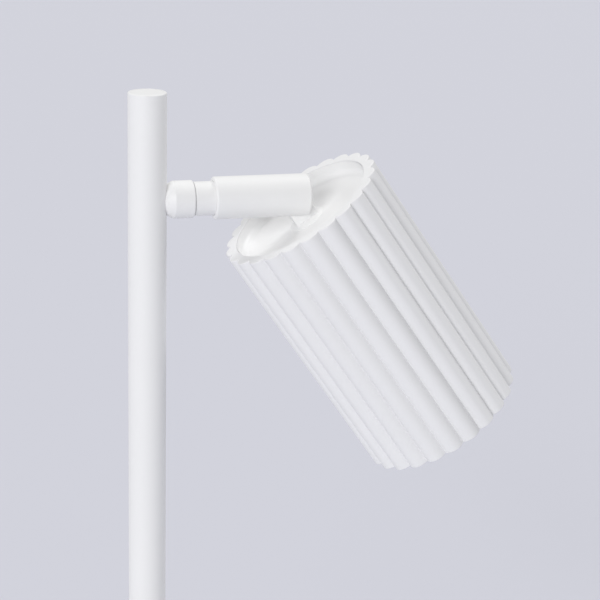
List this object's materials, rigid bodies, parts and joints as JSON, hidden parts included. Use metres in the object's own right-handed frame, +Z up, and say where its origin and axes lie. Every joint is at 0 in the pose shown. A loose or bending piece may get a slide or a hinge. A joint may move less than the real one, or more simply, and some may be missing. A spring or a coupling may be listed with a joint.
{
  "type": "table spot lamp",
  "caption": "Table spot lamp: fluted cylindrical shade that tilts on a short swivelling arm, fixed to a slim round pole on a heavy disc base.",
  "frame": {"origin": "centre of the base's underside, on the pole's axis", "axes": "+Z up along the pole; +X along the arm from the pole to the shade; XZ is the plane of symmetry"},
  "size_m": [0.2776, 0.19, 0.5],
  "materials": {
    "painted_steel": "matte white powder coat",
    "shade_plastic": "matte white, moulded",
    "plated_steel": "zinc plated",
    "brass": "turned",
    "pad_rubber": "matte",
    "gland_rubber": "matte white",
    "nylon": "natural nylon",
    "holder_ceramic": "unglazed",
    "lamp_plastic": "white gloss",
    "lamp_glass": "frosted"
  },
  "bodies": {
    "stand": {"base_pad": "pad_rubber", "base_plate": "painted_steel", "cord_gland": "gland_rubber", "foot_insert": "plated_steel", "foot_stud": "plated_steel", "foot_washer": "plated_steel", "foot_nut": "plated_steel", "pole_tube": "painted_steel", "pole_plug": "painted_steel", "arm_saddle_nut": "plated_steel", "arm_stud": "plated_steel", "arm_collar": "painted_steel", "arm_neck": "painted_steel", "friction_washer": "nylon", "spring_washer": "plated_steel", "swivel_nut": "plated_steel"},
    "sleeve": {"arm_sleeve": "painted_steel", "sleeve_end_plug": "painted_steel", "tilt_pin": "painted_steel", "tilt_bushes": "nylon"},
    "head": {"tilt_lug": "painted_steel", "lug_washer": "plated_steel", "lug_nut": "plated_steel", "head_cap": "painted_steel", "cap_screws": "plated_steel", "holder_bracket": "plated_steel", "bracket_screws": "plated_steel", "holder_screws": "plated_steel", "lamp_holder": "holder_ceramic", "lamp_body": "lamp_plastic", "lamp_lens": "lamp_glass", "lamp_pins": "brass", "front_baffle": "painted_steel", "shade_shell": "shade_plastic"}
  },
  "joints": [
    {"name": "sleeve_swivel", "type": "hinge", "parent": "stand", "child": "sleeve", "pos_m": [0.0683, 0, 0.4493], "axis": [1, 0, 0], "range_deg": [-170, 170]},
    {"name": "head_tilt", "type": "hinge", "parent": "sleeve", "child": "head", "pos_m": [0.0683, 0, 0.4493], "axis": [0, -1, 0], "range_deg": [-30, 55]}
  ]
}
